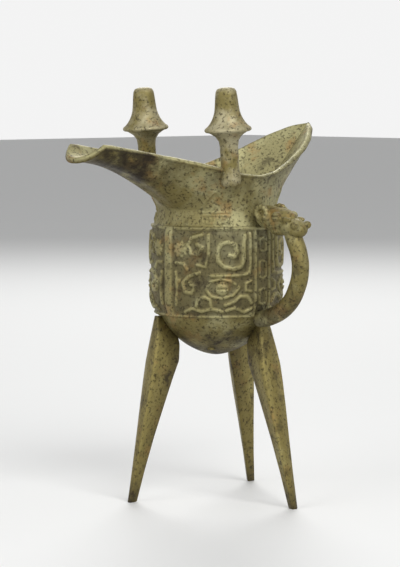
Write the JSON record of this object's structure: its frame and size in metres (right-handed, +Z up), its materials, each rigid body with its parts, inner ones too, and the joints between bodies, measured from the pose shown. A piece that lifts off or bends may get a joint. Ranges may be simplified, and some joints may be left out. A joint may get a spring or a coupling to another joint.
{
  "type": "libation cup",
  "caption": "Bronze tripod libation cup with a long spout, pointed tail, blade legs, two capped posts on the rim and a strap handle under an animal head.",
  "frame": {"origin": "middle of the bounding box at the level of the feet", "axes": "+Z up, the spout points to -X, the tail to +X, the strap handle to -Y"},
  "size_m": [0.1564, 0.1002, 0.2],
  "materials": {
    "bronze_patina": "cast bronze with a green and olive patina, semi-matte",
    "clay_core": "baked clay, matte"
  },
  "bodies": {
    "root": {"vessel": "bronze_patina", "leg_spout_side": "bronze_patina", "leg_under_handle": "bronze_patina", "leg_tail_side": "bronze_patina", "post_handle_side": "bronze_patina", "post_far_side": "bronze_patina", "cap_handle_side": "bronze_patina", "cap_far_side": "bronze_patina", "cap_core_handle_side": "clay_core", "cap_core_far_side": "clay_core", "handle_strap": "bronze_patina", "handle_head": "bronze_patina", "handle_head_core": "clay_core", "chaplet_1": "bronze_patina", "chaplet_2": "bronze_patina", "chaplet_3": "bronze_patina"}
  },
  "joints": []
}
